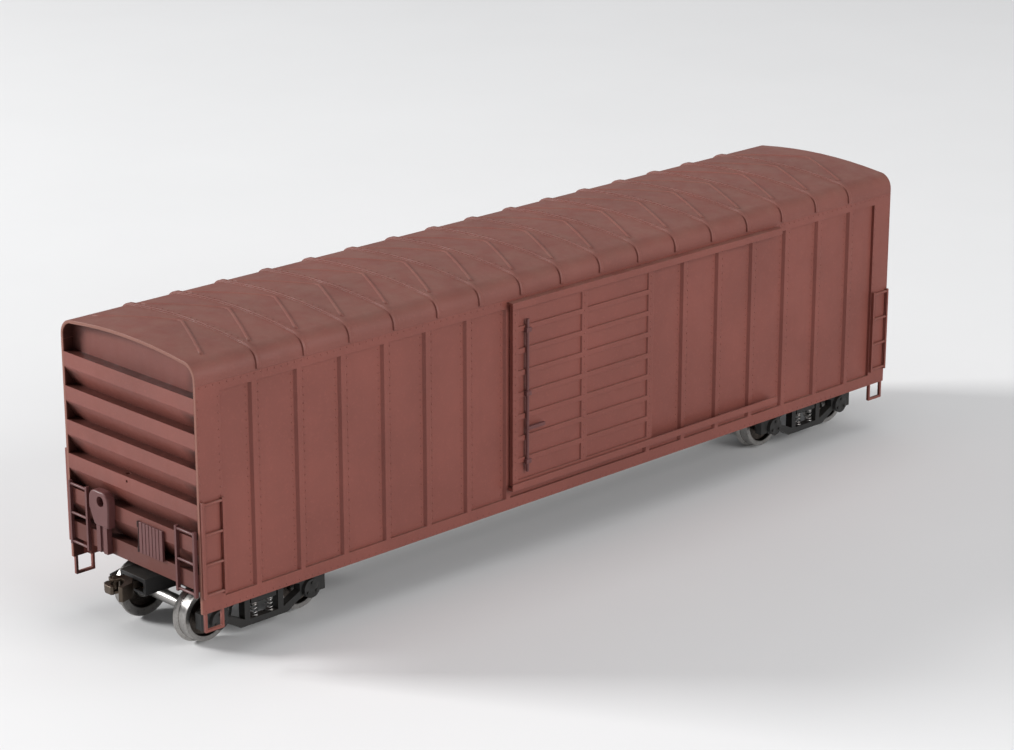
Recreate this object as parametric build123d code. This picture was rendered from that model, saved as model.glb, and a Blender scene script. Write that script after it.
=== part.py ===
from build123d import *
import os

os.makedirs("parts", exist_ok=True)

# HO scale (1:87.1) box car, millimetres. Y runs along the car with the brake end
# at -Y, X across it, Z up from the lowest point of the wheel flanges.

# --- Wheels and rail ------------------------------------------------------------
TREAD_R = 4.81                          # 33 in wheel
FLANGE_H = 0.64
WHEEL_BACK = 7.25                       # half the back-to-back distance
WHEEL_W = 2.8
FLANGE_W = 0.8
AXLE_R = 1.1
AXLE_Z = TREAD_R + FLANGE_H             # the flanges touch z = 0
AXLE_SHOULDER = 11.0                    # where the pointed ends begin
AXLE_TIP = 12.7
RAIL_TOP = FLANGE_H

# --- Car body -------------------------------------------------------------------
HALF_L = 89.0                           # body over the end flanges
HALF_W = 18.4                           # body over the corner posts
SIDE_BOTTOM = 10.0
EAVES = SIDE_BOTTOM + 40.0
ROOF_TOP = SIDE_BOTTOM + 44.8
SHOULDER_R = 3.0                        # rounded edge between side and roof
SHOULDER_Z = EAVES + 0.8
RIM = 0.6                               # flange around the inset end
SHEET = 1.0
SHEET_OUT = HALF_W - RIM                # side sheet's outer face
SHEET_IN = SHEET_OUT - SHEET
END_T = 3.0
END_IN = HALF_L - END_T                 # inner face of each end
END_BOTTOM = SIDE_BOTTOM + 4.0
ROOF_T = 1.2
FLOOR_T = 1.5
FLOOR_TOP = END_BOTTOM + FLOOR_T

# --- Corrugated ends ------------------------------------------------------------
RIB_COUNT = 6
RIB_PITCH = 6.15
RIB_FACE = 2.6
RIB_DEPTH = 2.05
TOP_RIB_Z = SIDE_BOTTOM + 37.8

# --- Side posts and doors -------------------------------------------------------
DOOR_HALF = 17.5                        # half the opening's width
DOOR_TOP = SIDE_BOTTOM + 38.0
DOOR_TRAVEL = 35.0
DOOR_LAP = 0.8
DOOR_IN = HALF_W + 0.15
DOOR_SHEET = 0.55
DOOR_OUT = HALF_W + 1.05
TRACK_OUT = HALF_W + 1.5
TRACK_LIP = 0.3
CORNER_POST = 5.0
PANELS = 7

# --- Trucks, draft gear ---------------------------------------------------------
TRUCK_Y = 71.4
HALF_BASE = 10.2
BOLSTER_BOTTOM = 6.1
BOLSTER_TOP = 9.2
PLATE_BOTTOM = 9.25
FRAME_IN = 11.2
FRAME_OUT = 12.8
COUPLER_Z = RAIL_TOP + 9.9
PIVOT_Y = 84.0
BOX_OUT = 89.6
BOX_IN = 80.0
CAVITY_LOW = COUPLER_Z - 0.84
CAVITY_TOP = COUPLER_Z + 0.86
PAD_BOTTOM = COUPLER_Z + 1.6
SHANK_R = 0.6                           # screw in the coupler box


# --- Shape helpers --------------------------------------------------------------
def block(x, y, z):
    """A box from three (low, high) pairs."""
    size = [high - low for low, high in (x, y, z)]
    centre = [(high + low) / 2 for low, high in (x, y, z)]
    return Pos(*centre) * Box(*size)


def rod_x(radius, x, y, z):
    """A cylinder along X from a (low, high) pair."""
    return Pos((x[0] + x[1]) / 2, y, z) * Rot(0, 90, 0) * Cylinder(radius, x[1] - x[0])


def rod_y(radius, x, y, z):
    return Pos(x, (y[0] + y[1]) / 2, z) * Rot(90, 0, 0) * Cylinder(radius, y[1] - y[0])


def rod_z(radius, x, y, z):
    return Pos(x, y, (z[0] + z[1]) / 2) * Cylinder(radius, z[1] - z[0])


def plate_x(points, x):
    """A polygon of (y, z) points, extruded between two x values."""
    plane = Plane(origin=(x[0], 0, 0), x_dir=(0, 1, 0), z_dir=(1, 0, 0))
    return extrude(plane * make_face(Polyline(*points, close=True)), x[1] - x[0])


def plate_y(points, y):
    """A polygon of (x, z) points, extruded between two y values."""
    plane = Plane(origin=(0, y[1], 0), x_dir=(1, 0, 0), z_dir=(0, -1, 0))
    return extrude(plane * make_face(Polyline(*points, close=True)), y[1] - y[0])


def plate_z(points, z):
    """A polygon of (x, y) points, extruded between two z values."""
    return extrude(Pos(0, 0, z[0]) * make_face(Polyline(*points, close=True)), z[1] - z[0])


def union(pieces):
    """One fused solid."""
    whole = pieces[0]
    for piece in pieces[1:]:
        whole = whole + piece
    return whole


def half_turn(shape):
    return Rot(0, 0, 180) * shape


def flip_x(shape):
    return mirror(shape, about=Plane.YZ)


def save(name, *solids):
    """One STEP file; several separate solids stay separate."""
    flat = []
    for solid in solids:
        flat.extend(solid.solids())
    shape = flat[0] if len(flat) == 1 else Compound(children=flat)
    export_step(shape, f"parts/{name}.step")


def save_ends(name, shape_b):
    """The same piece at both ends, turned half round for the A end."""
    save(f"{name}_b", shape_b)
    save(f"{name}_a", half_turn(shape_b))


def save_both_ways(name, *shapes):
    """Identical fasteners or steps in one node, with their half-turned copies."""
    save(name, *shapes, *[half_turn(shape) for shape in shapes])


# --- Roof and ends --------------------------------------------------------------
def body_section(inset, base, y):
    """The body's rounded section, set in from its outline, between two y values."""
    wide = HALF_W - inset
    corner_x = HALF_W - SHOULDER_R
    corner_z = SHOULDER_Z + SHOULDER_R - inset
    radius = SHOULDER_R - inset
    dx = radius * 2 ** -0.5
    mid_z = SHOULDER_Z + dx
    edges = [
        Line((-wide, base), (-wide, SHOULDER_Z)),
        ThreePointArc((-wide, SHOULDER_Z), (-corner_x - dx, mid_z), (-corner_x, corner_z)),
        ThreePointArc((-corner_x, corner_z), (0, ROOF_TOP - inset), (corner_x, corner_z)),
        ThreePointArc((corner_x, corner_z), (corner_x + dx, mid_z), (wide, SHOULDER_Z)),
        Line((wide, SHOULDER_Z), (wide, base)),
        Line((wide, base), (-wide, base)),
    ]
    plane = Plane(origin=(0, y[1], 0), x_dir=(1, 0, 0), z_dir=(0, -1, 0))
    return extrude(plane * make_face(Wire(edges)), y[1] - y[0])


ROOF_PANELS = 17
SEAM_W = 0.9
SEAM_H = 0.35


def roof():
    shell = body_section(0, EAVES, (-HALF_L, HALF_L))
    shell -= body_section(ROOF_T, EAVES - 1, (-END_IN, END_IN))
    for y in ((-HALF_L - 1, -END_IN), (END_IN, HALF_L + 1)):
        shell -= body_section(RIM, EAVES - 1, y)
    seams = []
    pitch = 2 * END_IN / ROOF_PANELS
    for i in range(1, ROOF_PANELS):
        y = -END_IN + i * pitch
        cap = body_section(-SEAM_H, EAVES + 0.3, (y - SEAM_W / 2, y + SEAM_W / 2))
        seams.append(cap - body_section(ROOF_T / 2, EAVES - 1, (y - SEAM_W, y + SEAM_W)))
    return union([shell] + seams)


def ribbed_end():
    """The inset end: six full-width ribs, each with a flat face, a slope and a shelf."""
    face = -HALF_L
    root = face + RIB_DEPTH
    profile = [(-END_IN, END_BOTTOM), (face, END_BOTTOM)]
    for rib in reversed(range(RIB_COUNT)):
        shelf_z = TOP_RIB_Z - rib * RIB_PITCH
        profile.append((face, shelf_z))
        profile.append((root, shelf_z))
        if rib:
            profile.append((face, shelf_z + RIB_PITCH - RIB_FACE))
    profile += [(root, ROOF_TOP), (-END_IN, ROOF_TOP)]
    ribs = plate_x(profile, (-HALF_W, HALF_W))
    return ribs & body_section(RIM, END_BOTTOM, (-HALF_L, -END_IN))


FOURTH_SHELF_Z = TOP_RIB_Z - 3 * RIB_PITCH
SHELF_HOLE_R = 0.45
SHELF_HOLE_X = -2.35
SHELF_HOLE_DEPTH = 1.2                  # behind the ribs' faces
FACE_HOLE_R = 0.25
FACE_HOLE_X = -1.3
FACE_HOLE_Z = FOURTH_SHELF_Z - 0.85
HOLE_LENGTH = 1.5


def end_with_holes():
    """The brake end, with a hole down through the fourth shelf and one in the face below it."""
    shelf_hole = rod_z(SHELF_HOLE_R, SHELF_HOLE_X, -HALF_L + SHELF_HOLE_DEPTH,
                       (FOURTH_SHELF_Z - HOLE_LENGTH, FOURTH_SHELF_Z + 1))
    face_hole = rod_y(FACE_HOLE_R, FACE_HOLE_X, (-HALF_L - 1, -HALF_L + HOLE_LENGTH), FACE_HOLE_Z)
    return ribbed_end() - shelf_hole - face_hole


# --- Sides ----------------------------------------------------------------------
POST_FOOT = 1.8
POST_CROWN = 1.0
SILL_H = 2.2
CHORD_H = 1.7


def side():
    """The +X side: sheet with a door opening, posts, sill and top chord."""
    pieces = [block((SHEET_IN, SHEET_OUT), (-END_IN, END_IN), (SIDE_BOTTOM, EAVES))]
    inner = SHEET_OUT - 0.2
    pieces.append(block((inner, HALF_W), (-HALF_L, HALF_L), (SIDE_BOTTOM, SIDE_BOTTOM + SILL_H)))
    pieces.append(block((inner, HALF_W), (-HALF_L, HALF_L), (EAVES - CHORD_H, EAVES)))
    pitch = (HALF_L - CORNER_POST / 2 - DOOR_HALF - POST_FOOT / 2) / PANELS
    for way in (-1, 1):
        corner = sorted((way * HALF_L, way * (HALF_L - CORNER_POST)))
        pieces.append(block((inner, HALF_W), corner, (SIDE_BOTTOM, EAVES)))
        for i in range(PANELS):
            y = way * (DOOR_HALF + POST_FOOT / 2 + i * pitch)
            foot, crown = POST_FOOT / 2, POST_CROWN / 2
            outline = [(inner, y - foot), (SHEET_OUT, y - foot), (HALF_W, y - crown),
                       (HALF_W, y + crown), (SHEET_OUT, y + foot), (inner, y + foot)]
            pieces.append(plate_z(outline, (SIDE_BOTTOM, EAVES)))
    panel = union(pieces)
    panel -= block((SHEET_IN - 1, HALF_W + 1), (-DOOR_HALF, DOOR_HALF), (FLOOR_TOP, DOOR_TOP))
    for way in (-1, 1):
        ends = sorted((way * END_IN, way * (HALF_L + 1)))
        panel -= block((SHEET_IN - 1, SHEET_OUT), ends, (0, EAVES + 1))
    return panel


# --- Doors and their tracks -----------------------------------------------------
DOOR_GAP = 0.15
LEDGE_LOW = SIDE_BOTTOM + 3.9
LEDGE_T = 0.6
HOOD_TOP = EAVES - 0.4
HOOD_T = 0.5
DOOR_LOW = LEDGE_LOW + LEDGE_T + DOOR_GAP
DOOR_HIGH = HOOD_TOP - HOOD_T - DOOR_GAP
DOOR_STILE = 1.4
DOOR_RIBS = 9
DOOR_RIB_H = 1.0


def door():
    """The +X door in its closed place, as a stiffened sheet."""
    half = DOOR_HALF + DOOR_LAP
    out = (DOOR_IN, DOOR_IN + DOOR_SHEET)
    proud = (DOOR_IN, DOOR_OUT)
    pieces = [block(out, (-half, half), (DOOR_LOW, DOOR_HIGH))]
    for y in (-half, -DOOR_STILE / 2, half - DOOR_STILE):
        pieces.append(block(proud, (y, y + DOOR_STILE), (DOOR_LOW, DOOR_HIGH)))
    pitch = (DOOR_HIGH - DOOR_LOW - DOOR_RIB_H) / (DOOR_RIBS - 1)
    for i in range(DOOR_RIBS):
        z = DOOR_LOW + i * pitch
        pieces.append(block(proud, (-half, half), (z, z + DOOR_RIB_H)))
    return union(pieces)


LATCH_R = 0.3
LATCH_Y = -DOOR_HALF + 2.6
LATCH_Z = (SIDE_BOTTOM + 7.0, SIDE_BOTTOM + 36.0)
HANDLE_Z = SIDE_BOTTOM + 15.0


def door_latch():
    """Vertical lock rod in three keepers, with its lever handle."""
    x = DOOR_OUT + LATCH_R
    pieces = [rod_z(LATCH_R, x, LATCH_Y, LATCH_Z)]
    for z in (LATCH_Z[0] + 2, HANDLE_Z + 7, LATCH_Z[1] - 2):
        pieces.append(block((DOOR_OUT, x + 0.45), (LATCH_Y - 0.6, LATCH_Y + 0.6), (z - 0.4, z + 0.4)))
    pieces.append(block((x - 0.2, x + 0.35), (LATCH_Y, LATCH_Y + 4.2), (HANDLE_Z, HANDLE_Z + 0.6)))
    return union(pieces)


def door_tracks():
    """Lower ledge and upper hood, each with a lip that keeps the door in."""
    reach = (-DOOR_HALF - DOOR_LAP - 0.4, DOOR_HALF + DOOR_LAP + DOOR_TRAVEL + 0.8)
    lip = (TRACK_OUT - TRACK_LIP, TRACK_OUT)
    ledge = block((HALF_W, TRACK_OUT), reach, (LEDGE_LOW, LEDGE_LOW + LEDGE_T))
    ledge += block(lip, reach, (LEDGE_LOW, LEDGE_LOW + LEDGE_T + 0.7))
    hood = block((HALF_W, TRACK_OUT), reach, (HOOD_TOP - HOOD_T, HOOD_TOP))
    hood += block(lip, reach, (HOOD_TOP - HOOD_T - 0.8, HOOD_TOP))
    return ledge, hood


# --- Ladders and steps ----------------------------------------------------------
RUNG_R = 0.25
RUNG_INSET = 0.05                       # behind the stiles' faces
RUNG_Z0 = SIDE_BOTTOM + 3.4
RUNG_PITCH = 5.35
STILE_W = 0.5
STILE_T = 0.65
STILE_OVER = 0.5                        # stiles reach past the outer rungs
END_LADDER_X = (-HALF_W + 0.9, -HALF_W + 6.2)
END_RUNGS = 3
SIDE_RUNGS = 4


def stile_span(rungs):
    return (RUNG_Z0 - STILE_OVER, RUNG_Z0 + (rungs - 1) * RUNG_PITCH + STILE_OVER)


def end_ladder():
    """The ladder on the brake end's -X corner."""
    left, right = END_LADDER_X
    deep = (-HALF_L - STILE_T, -HALF_L)
    rung_y = -HALF_L - STILE_T + RUNG_R + RUNG_INSET
    pieces = []
    for x in (left, right - STILE_W):
        pieces.append(block((x, x + STILE_W), deep, stile_span(END_RUNGS)))
    for i in range(END_RUNGS):
        span = (left + STILE_W / 2, right - STILE_W / 2)
        pieces.append(rod_x(RUNG_R, span, rung_y, RUNG_Z0 + i * RUNG_PITCH))
    return union(pieces)


def side_ladder():
    """The ladder on the +X side's corner post at the brake end."""
    low = -HALF_L + 0.15
    high = low + CORNER_POST - 0.3
    deep = (HALF_W, HALF_W + STILE_T)
    rung_x = HALF_W + STILE_T - RUNG_R - RUNG_INSET
    pieces = []
    for y in (low, high - STILE_W):
        pieces.append(block(deep, (y, y + STILE_W), stile_span(SIDE_RUNGS)))
    for i in range(SIDE_RUNGS):
        span = (low + STILE_W / 2, high - STILE_W / 2)
        pieces.append(rod_y(RUNG_R, rung_x, span, RUNG_Z0 + i * RUNG_PITCH))
    return union(pieces)


STEP_DROP = 3.4
STEP_T = 0.45


def sill_step():
    """A stirrup below the +X side's corner at the brake end."""
    y = (-HALF_L + 0.5, -HALF_L + CORNER_POST - 0.5)
    x = (HALF_W - RIM, HALF_W)
    foot = SIDE_BOTTOM - STEP_DROP
    pieces = [block(x, y, (foot, foot + STEP_T))]
    for low in (y[0], y[1] - STEP_T):
        pieces.append(block(x, (low, low + STEP_T), (foot, SIDE_BOTTOM)))
    return union(pieces)


# --- Fittings on the brake end --------------------------------------------------
HOUSING_X = -7.6
HOUSING_SIDES = (-2.8, 2.7)             # from HOUSING_X
HOUSING_FOOT = (-1.4, 2.5)
HOUSING_Z = (SIDE_BOTTOM + 9.1, SIDE_BOTTOM + 15.4)
HOUSING_T = 1.55
HOUSING_TAPER_H = 2.9
HOUSING_CORNER_R = 1.8
HOUSING_EDGE = 0.2
WHEEL_BORE_R = 0.95
WHEEL_BORE_X = HOUSING_X + 0.5
WHEEL_BORE_Z = SIDE_BOTTOM + 13.6


def brake_housing():
    """Hand-brake housing with rounded top corners and the bore for a brake wheel."""
    low, high = HOUSING_Z
    left, right = [HOUSING_X + offset for offset in HOUSING_SIDES]
    foot_left, foot_right = [HOUSING_X + offset for offset in HOUSING_FOOT]
    waist = low + HOUSING_TAPER_H
    outline = [(foot_left, low), (foot_right, low), (right, waist), (right, high), (left, high), (left, waist)]
    body = plate_y(outline, (-HALF_L - HOUSING_T, -HALF_L))
    top_corners = body.edges().filter_by(Axis.Y).group_by(Axis.Z)[-1]
    body = fillet(top_corners, HOUSING_CORNER_R)
    front = body.faces().sort_by(Axis.Y)[0]
    body = chamfer(front.edges(), HOUSING_EDGE)
    return body - rod_y(WHEEL_BORE_R, WHEEL_BORE_X, (-HALF_L - 2, -HALF_L + 1), WHEEL_BORE_Z)


BRACKET_W = 3.0
BRACKET_T = 1.1
GROOVE_W = 0.8
GROOVE_T = 0.3


def brake_bracket():
    """The chain guard below the housing, down to the end sill."""
    half, groove = BRACKET_W / 2, GROOVE_W / 2
    face = -HALF_L - BRACKET_T
    guard = block((HOUSING_X - half, HOUSING_X + half), (face, -HALF_L), (END_BOTTOM, HOUSING_Z[0]))
    return guard - block((HOUSING_X - groove, HOUSING_X + groove), (face - 1, face + GROOVE_T),
                         (END_BOTTOM - 1, HOUSING_Z[0] + 1))


BOARD_X = (2.2, 8.6)
BOARD_Z = (SIDE_BOTTOM + 6.8, SIDE_BOTTOM + 12.3)
BOARD_T = 0.5
PLANKS = 7
PLANK_GAP = 0.14
PLANK_GAP_T = 0.2
HINGE_X = BOARD_X[0] - 0.3
HINGE_R = 0.14
KNUCKLE_EYE_R = 0.3
KNUCKLE_EYE_H = 1.0


def placard_board():
    """Tack board of upright planks."""
    face = -HALF_L - BOARD_T
    board = block(BOARD_X, (face, -HALF_L), BOARD_Z)
    pitch = (BOARD_X[1] - BOARD_X[0]) / PLANKS
    for i in range(1, PLANKS):
        x = BOARD_X[0] + i * pitch
        board -= block((x - PLANK_GAP / 2, x + PLANK_GAP / 2), (face - 1, face + PLANK_GAP_T),
                       (BOARD_Z[0] - 1, BOARD_Z[1] + 1))
    return board


def board_hinge():
    """Rod down the board's -X edge, with an eye near each end."""
    y = -HALF_L - KNUCKLE_EYE_R
    eyes = (BOARD_Z[0] + KNUCKLE_EYE_H / 2, BOARD_Z[1] - KNUCKLE_EYE_H / 2)
    hinge = rod_z(HINGE_R, HINGE_X, y, eyes)
    for z in eyes:
        hinge += rod_z(KNUCKLE_EYE_R, HINGE_X, y, (z - KNUCKLE_EYE_H / 2, z + KNUCKLE_EYE_H / 2))
    return hinge


# --- Floor, frame and weight ----------------------------------------------------
SILL_HALF = 1.9
SILL_BOTTOM = SIDE_BOTTOM + 1.0
BOLSTER_HALF = 2.5
KINGPIN_R = 0.95
CENTRE_PLATE_R = 3.0
WEIGHT_X = 12.0
WEIGHT_Y = 70.0
WEIGHT_T = 1.5
CROSSBEARERS = (20.0, 45.0)
BEARER_HALF = 0.6
BEARER_BOTTOM = SILL_BOTTOM + 0.5
PAD_IN = BOX_IN - 1.0
PAD_HALF = 3.4
KINGPIN_TOP = END_BOTTOM - 1.0
BOX_SCREW_TOP = END_BOTTOM - 0.6
ROD_R = 0.3
ROD_X = 4.0
ROD_Z = 12.9
ROD_END = 62.0
ROD_GAP = 0.2                           # around the rods where they pass the crossbearers


def mirrored_y(way, low, high):
    """A (low, high) pair along Y, at +Y for way 1 and turned to -Y for way -1."""
    return tuple(sorted((way * low, way * high)))


def frame():
    """Centre sill, crossbearers, body bolsters, centre plates and draft pads, glued together."""
    sill = (-SILL_HALF, SILL_HALF)
    sill_z = (SILL_BOTTOM, END_BOTTOM)
    bolster = (TRUCK_Y - BOLSTER_HALF, TRUCK_Y + BOLSTER_HALF)
    rod_hole = rod_y(ROD_R + ROD_GAP, ROD_X, (-ROD_END, ROD_END), ROD_Z)
    parts = [block(sill, (-bolster[0], bolster[0]), sill_z)]
    for way in (-1, 1):
        kingpin_hole = rod_z(KINGPIN_R, 0, way * TRUCK_Y, (0, KINGPIN_TOP))
        parts.append(block((-SHEET_IN, SHEET_IN), mirrored_y(way, *bolster), (BEARER_BOTTOM, END_BOTTOM))
                     - kingpin_hole)
        parts.append(rod_z(CENTRE_PLATE_R, 0, way * TRUCK_Y, (PLATE_BOTTOM, BEARER_BOTTOM)) - kingpin_hole)
        parts.append(block(sill, mirrored_y(way, bolster[1], PAD_IN), sill_z))
        parts.append(block((-PAD_HALF, PAD_HALF), mirrored_y(way, PAD_IN, END_IN), (PAD_BOTTOM, END_BOTTOM))
                     - rod_z(SHANK_R, 0, way * PIVOT_Y, (0, BOX_SCREW_TOP)))
        for y in CROSSBEARERS:
            along = mirrored_y(way, y - BEARER_HALF, y + BEARER_HALF)
            for across in ((-SHEET_IN, -SILL_HALF), (SILL_HALF, SHEET_IN)):
                parts.append(block(across, along, (BEARER_BOTTOM, END_BOTTOM)) - rod_hole)
    return parts


KINGPIN_HEAD_R = 1.75
KINGPIN_HEAD_H = 0.9


def kingpin():
    """Screw that holds the brake-end truck to the centre plate."""
    head_top = BOLSTER_BOTTOM - 0.05
    pin = rod_z(KINGPIN_R, 0, -TRUCK_Y, (head_top, KINGPIN_TOP))
    head = rod_z(KINGPIN_HEAD_R, 0, -TRUCK_Y, (head_top - KINGPIN_HEAD_H, head_top))
    slot = block((-2, 2), (-TRUCK_Y - 0.2, -TRUCK_Y + 0.2), (0, head_top - KINGPIN_HEAD_H + 0.4))
    return pin + head - slot


# --- Brake gear under the floor -------------------------------------------------
CYLINDER_X = 7.0
CYLINDER_Z = 11.4
CYLINDER_R = 1.6
CYLINDER_Y = (6.0, 15.0)
HEAD_R = 1.9
HEAD_Y = (14.2, 15.6)
PISTON_R = 0.4
PISTON_END = 18.0
RESERVOIR_X = -7.0
RESERVOIR_Z = 11.2
RESERVOIR_R = 2.0
RESERVOIR_HALF = 8.0
STRAP_Y = 5.0
VALVE_X = -6.9
VALVE_Y = 25.5
VALVE_HALF = 1.5
VALVE_Z = (11.0, END_BOTTOM)
BOWL_R = 1.1
BOWL_BOTTOM = 10.2
ROD_HANGERS = (-61.0, -33.0, 33.0, 61.0)
LEVER_Y = (PISTON_END, PISTON_END + 0.9)
LEVER_END = CYLINDER_X + 1.4


def brake_cylinder():
    body = rod_y(CYLINDER_R, CYLINDER_X, CYLINDER_Y, CYLINDER_Z)
    body += rod_y(HEAD_R, CYLINDER_X, HEAD_Y, CYLINDER_Z)
    body += rod_y(PISTON_R, CYLINDER_X, (HEAD_Y[1], PISTON_END), CYLINDER_Z)
    foot = (CYLINDER_Y[0] + 2, CYLINDER_Y[1] - 2)
    return body + block((CYLINDER_X - 0.8, CYLINDER_X + 0.8), foot, (CYLINDER_Z, END_BOTTOM))


def air_reservoir():
    body = rod_y(RESERVOIR_R, RESERVOIR_X, (-RESERVOIR_HALF, RESERVOIR_HALF), RESERVOIR_Z)
    for y in (-STRAP_Y, STRAP_Y):
        body += block((RESERVOIR_X - 1.4, RESERVOIR_X + 1.4), (y - 0.5, y + 0.5), (RESERVOIR_Z, END_BOTTOM))
    return body


def control_valve():
    body = block((VALVE_X - VALVE_HALF, VALVE_X + VALVE_HALF), (VALVE_Y - VALVE_HALF, VALVE_Y + VALVE_HALF),
                 VALVE_Z)
    return body + rod_z(BOWL_R, VALVE_X, VALVE_Y, (BOWL_BOTTOM, VALVE_Z[0]))


def brake_rods():
    """Long brake rods in hangers, with the cylinder lever between them."""
    pieces = [rod_y(ROD_R, ROD_X, (-ROD_END, ROD_END), ROD_Z)]
    pieces.append(block((ROD_X - 0.6, LEVER_END), LEVER_Y, (ROD_Z - 0.9, ROD_Z + ROD_R)))
    for y in ROD_HANGERS:
        pieces.append(block((ROD_X - 0.5, ROD_X + 0.5), (y - 0.4, y + 0.4), (ROD_Z - 0.5, END_BOTTOM)))
    return union(pieces)


# --- Trucks (modelled at the brake end) -----------------------------------------
FRAME_OUTLINE = [(13.7, 4.3), (8.6, 4.3), (5.2, 2.3)]
FRAME_TOP = [(5.6, 9.3), (9.4, 8.0), (13.7, 7.2)]
WINDOW_HALF = 3.1
WINDOW_TOP = 8.45
SEAT_Z = 3.4
FRAME_HOLE = [(4.3, 3.6), (4.3, 7.9), (8.0, 6.7), (8.0, 5.3)]
JOURNAL_R = 1.75
JOURNAL_PROUD = 0.8
BOLT_R = 0.3
BOLT_RING_R = 1.1
BOLT_H = 0.3
SPRING_R = 0.75
SPRING_Y = 1.7


def side_frame():
    """The +X side frame, with journal bosses and pointed-bearing pockets."""
    y0 = -TRUCK_Y
    lower = [(y0 - y, z) for y, z in FRAME_OUTLINE] + [(y0 + y, z) for y, z in reversed(FRAME_OUTLINE)]
    upper = [(y0 + y, z) for y, z in reversed(FRAME_TOP)] + [(y0 - y, z) for y, z in FRAME_TOP]
    casting = plate_x(lower + upper, (FRAME_IN, FRAME_OUT))
    reach = (FRAME_IN - 1, FRAME_OUT + 1)
    boss_face = FRAME_OUT + JOURNAL_PROUD
    casting -= block(reach, (y0 - WINDOW_HALF, y0 + WINDOW_HALF), (SEAT_Z, WINDOW_TOP))
    for way in (-1, 1):
        casting -= plate_x([(y0 + way * y, z) for y, z in FRAME_HOLE], reach)
        y = y0 + way * HALF_BASE
        casting += rod_x(JOURNAL_R, (FRAME_IN, boss_face), y, AXLE_Z)
        for angle in (90, 210, 330):
            turned = Pos(0, y, AXLE_Z) * Rot(angle, 0, 0)
            casting += turned * rod_x(BOLT_R, (boss_face - BOLT_H, boss_face + BOLT_H), BOLT_RING_R, 0)
        casting -= bearing_pocket(y)
    return casting


POCKET_GAP = 0.08
AXLE_NECK_R = 0.95
AXLE_TIP_R = 0.1


def cone_x(radius0, radius1, x, y, z):
    """A truncated cone along X."""
    return Pos((x[0] + x[1]) / 2, y, z) * Rot(0, 90, 0) * Cone(radius0, radius1, x[1] - x[0])


def bearing_pocket(y):
    neck, tip = AXLE_NECK_R + POCKET_GAP, AXLE_TIP_R + POCKET_GAP
    return cone_x(neck, tip, (AXLE_SHOULDER, AXLE_TIP + POCKET_GAP), y, AXLE_Z)


def truck_bolster():
    y0 = -TRUCK_Y
    beam = block((-FRAME_IN, FRAME_IN), (y0 - 2.4, y0 + 2.4), (BOLSTER_BOTTOM, BOLSTER_TOP))
    beam += block((-FRAME_OUT, FRAME_OUT), (y0 - 2.8, y0 + 2.8), (BOLSTER_BOTTOM, BOLSTER_TOP - 0.8))
    beam += rod_z(CENTRE_PLATE_R + 0.6, 0, y0, (BOLSTER_BOTTOM, BOLSTER_TOP))
    for x in (-7.5, 7.5):
        beam += block((x - 1.0, x + 1.0), (y0 - 1.6, y0 + 1.6), (BOLSTER_TOP - 0.3, BOLSTER_TOP + 0.9))
    return beam - rod_z(KINGPIN_R + 0.1, 0, y0, (0, BOLSTER_TOP + 1))


def truck_springs():
    """Two springs in each side frame's window, from the seat to the bolster."""
    springs = []
    for x in (-(FRAME_IN + FRAME_OUT) / 2, (FRAME_IN + FRAME_OUT) / 2):
        for y in (-TRUCK_Y - SPRING_Y, -TRUCK_Y + SPRING_Y):
            springs.append(rod_z(SPRING_R, x, y, (SEAT_Z, BOLSTER_BOTTOM)))
    return springs


def axle(y):
    shaft = rod_x(AXLE_R, (-AXLE_SHOULDER + 0.4, AXLE_SHOULDER - 0.4), y, AXLE_Z)
    for way in (-1, 1):
        neck = sorted((way * (AXLE_SHOULDER - 0.4), way * AXLE_SHOULDER))
        shaft += rod_x(AXLE_NECK_R, neck, y, AXLE_Z)
    shaft += cone_x(AXLE_NECK_R, AXLE_TIP_R, (AXLE_SHOULDER, AXLE_TIP), y, AXLE_Z)
    return shaft + cone_x(AXLE_TIP_R, AXLE_NECK_R, (-AXLE_TIP, -AXLE_SHOULDER), y, AXLE_Z)


def wheel(y):
    """The +X wheel: flange, coned tread, dished plate and hub, turned about the axle."""
    back = WHEEL_BACK
    front = WHEEL_BACK + WHEEL_W
    rim_r = TREAD_R - 0.95
    hub_r = AXLE_R + 0.75
    section = [
        (back, AXLE_R), (back, hub_r), (back + 0.7, hub_r + 0.2), (back + 0.9, rim_r - 0.2),
        (back, rim_r), (back, TREAD_R + FLANGE_H - 0.15), (back + 0.3, TREAD_R + FLANGE_H),
        (back + FLANGE_W - 0.2, TREAD_R + FLANGE_H - 0.25), (back + FLANGE_W, TREAD_R),
        (front, TREAD_R - 0.08), (front, rim_r), (front - 0.9, rim_r - 0.2),
        (front - 1.1, hub_r + 0.2), (front - 0.2, hub_r), (front - 0.2, AXLE_R),
    ]
    face = make_face(Polyline(*section, close=True))
    return Pos(0, y, AXLE_Z) * revolve(face, Axis.X, 360)


# --- Draft gear (modelled at the brake end) -------------------------------------
BOX_HALF = 3.55
CAVITY_HALF = 2.85
LID_T = 0.5
POST_R = 0.9
RING_GAP = 0.08
RING_R = 1.8
SHANK_HALF = 0.95
SHANK_H = 1.2
LEAF_T = 0.15
SPRING_PLATE_T = 0.16
SCREW_HEAD_R = 1.2


def coupler_box():
    """Pocket open below and in front, with the post that the coupler turns on."""
    outer = block((-BOX_HALF, BOX_HALF), (-BOX_OUT, -BOX_IN), (CAVITY_LOW, PAD_BOTTOM))
    outer -= block((-CAVITY_HALF, CAVITY_HALF), (-BOX_OUT - 1, -BOX_IN - 0.7), (CAVITY_LOW - 1, CAVITY_TOP))
    outer += rod_z(POST_R, 0, -PIVOT_Y, (CAVITY_LOW, CAVITY_TOP + 0.2))
    return outer - rod_z(SHANK_R, 0, -PIVOT_Y, (0, PAD_BOTTOM + 1))


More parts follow.
